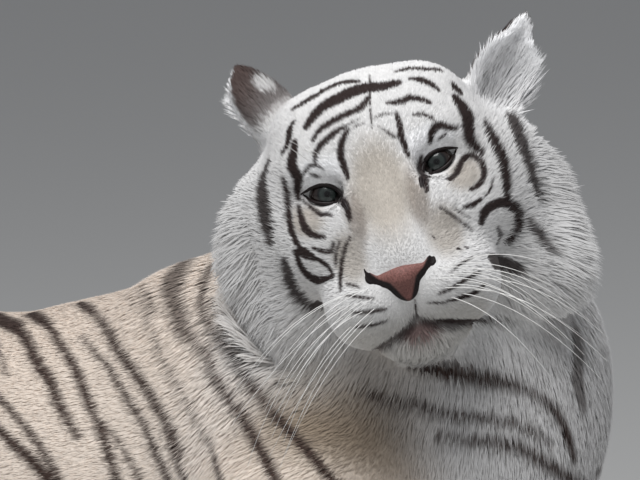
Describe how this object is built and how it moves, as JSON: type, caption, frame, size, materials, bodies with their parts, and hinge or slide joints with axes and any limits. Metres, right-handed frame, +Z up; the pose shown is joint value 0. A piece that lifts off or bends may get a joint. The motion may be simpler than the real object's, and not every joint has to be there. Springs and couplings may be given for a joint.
{
  "type": "white tiger",
  "caption": "Life-size still model of an adult white tiger lying on its chest, head raised and turned to its right, forelegs stretched out and tail curled round on the floor.",
  "frame": {"origin": "middle of the underside, on the floor that the animal lies on", "axes": "+X along the trunk toward the chest, +Y the animal's left, +Z up"},
  "size_m": [1.7364, 0.7628, 0.8129],
  "materials": {
    "coat": "short dense fur, creamy white with brown-black stripes, longer in the ruff",
    "nose_leather": "bare pink-brown skin, slightly moist",
    "eye": "wet, grey-blue iris and round black pupil"
  },
  "bodies": {
    "root": {"belly": "coat", "chest": "coat", "chin": "coat", "ear_left": "coat", "ear_right": "coat", "eye_left": "eye", "eye_right": "eye", "fore_paw_left": "coat", "fore_paw_right": "coat", "forearm_left": "coat", "forearm_right": "coat", "head": "coat", "hind_foot_left": "coat", "hind_foot_right": "coat", "hind_paw_left": "coat", "hind_paw_right": "coat", "neck": "coat", "nose": "nose_leather", "rump": "coat", "shank_left": "coat", "shank_right": "coat", "tail_1": "coat", "tail_2": "coat", "tail_3": "coat", "tail_4": "coat", "thigh_left": "coat", "thigh_right": "coat", "upper_arm_left": "coat", "upper_arm_right": "coat"}
  },
  "joints": []
}
